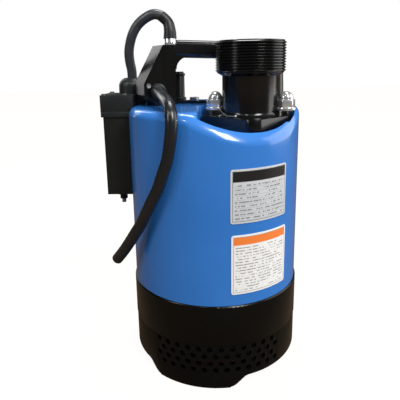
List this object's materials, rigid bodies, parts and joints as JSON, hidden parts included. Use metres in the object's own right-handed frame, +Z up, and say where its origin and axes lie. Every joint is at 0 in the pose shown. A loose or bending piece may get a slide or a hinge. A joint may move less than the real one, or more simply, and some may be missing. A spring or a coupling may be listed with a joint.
{
  "type": "submersible sump pump",
  "caption": "Upright electric submersible sump pump with a blue cooling shell, black strainer base, threaded discharge on top, carrying handle and a level relay on its side.",
  "frame": {"origin": "on the pump axis, in the plane that the feet stand on", "axes": "+Z up along the pump axis, +X to the right of the plates, -Y to the front"},
  "size_m": [0.2215, 0.194, 0.3925],
  "materials": {
    "black_base": "satin",
    "blue_shell": "gloss",
    "red_urethane": "satin",
    "dark_iron": "matte",
    "steel": "satin",
    "seal_ceramic": "satin",
    "motor_aluminium": "satin",
    "bearing_steel": "satin",
    "core_steel": "satin",
    "copper": "satin",
    "cream_plastic": "satin",
    "black_plastic": "satin",
    "black_rubber": "matte",
    "black_iron": "gloss",
    "chrome": "gloss",
    "relay_plastic": "satin",
    "board_green": "satin",
    "plate_metal": "satin",
    "plate_white": "satin",
    "cord_black": "satin",
    "cord_grey": "satin",
    "impeller_urethane": "satin"
  },
  "bodies": {
    "pump_body": {"strainer": "black_base", "base_ring": "black_base", "outer_shell": "blue_shell", "suction_cover": "red_urethane", "pump_casing": "dark_iron", "cover_screws": "steel", "casing_bolts": "steel", "oil_casing": "dark_iron", "oil_plug": "steel", "seal_seat": "seal_ceramic", "motor_frame": "motor_aluminium", "lower_bearing_outer": "bearing_steel", "upper_bearing_outer": "bearing_steel", "stator_core": "core_steel", "stator_windings": "copper", "motor_head": "motor_aluminium", "run_capacitor": "cream_plastic", "thermal_protector": "black_plastic", "head_cover": "motor_aluminium", "head_screws": "steel", "frame_seals": "black_rubber", "discharge_gasket": "black_rubber", "discharge_pipe": "black_iron", "discharge_studs": "steel", "discharge_washers": "chrome", "discharge_cap_nuts": "chrome", "handle": "black_iron", "handle_bolts": "steel", "leg_plug": "steel", "vent_body": "black_plastic", "vent_cap": "black_plastic", "supply_gland": "black_rubber", "signal_gland": "chrome", "cable_duct": "dark_iron", "relay_case": "relay_plastic", "relay_lid": "relay_plastic", "relay_gasket": "black_rubber", "relay_board": "board_green", "relay_cable_entry": "relay_plastic", "relay_bracket": "steel", "relay_lid_screws": "steel", "electrode_rod": "steel", "electrode_insulator": "black_rubber", "data_plate": "plate_metal", "notice_plate": "plate_white", "supply_cord": "cord_black", "supply_cord_cores": "copper", "signal_cable": "cord_grey"},
    "rotor": {"shaft": "bearing_steel", "rotor_core": "core_steel", "impeller": "impeller_urethane", "impeller_nut": "steel", "bearing_inner_rings": "bearing_steel", "seal_ring": "core_steel", "seal_spring": "steel"},
    "lower_ball_set": {"lower_bearing_balls": "chrome"},
    "upper_ball_set": {"upper_bearing_balls": "chrome"},
    "vent_valve_ball": {"vent_ball": "chrome"}
  },
  "joints": [
    {"name": "rotor_spin", "type": "hinge", "parent": "pump_body", "child": "rotor", "pos_m": [0, 0, 0.1], "axis": [0, 0, 1], "continuous": true},
    {"name": "lower_balls_spin", "type": "hinge", "parent": "pump_body", "child": "lower_ball_set", "pos_m": [0, 0, 0.107], "axis": [0, 0, 1], "continuous": true},
    {"name": "upper_balls_spin", "type": "hinge", "parent": "pump_body", "child": "upper_ball_set", "pos_m": [0, 0, 0.2], "axis": [0, 0, 1], "continuous": true},
    {"name": "vent_ball_lift", "type": "slide", "parent": "pump_body", "child": "vent_valve_ball", "axis": [0, 0, 1], "range_m": [0, 0.01]}
  ],
  "couplings": [
    {"joint": "lower_balls_spin", "follows": "rotor_spin", "ratio": 0.3877},
    {"joint": "upper_balls_spin", "follows": "rotor_spin", "ratio": 0.3877}
  ]
}
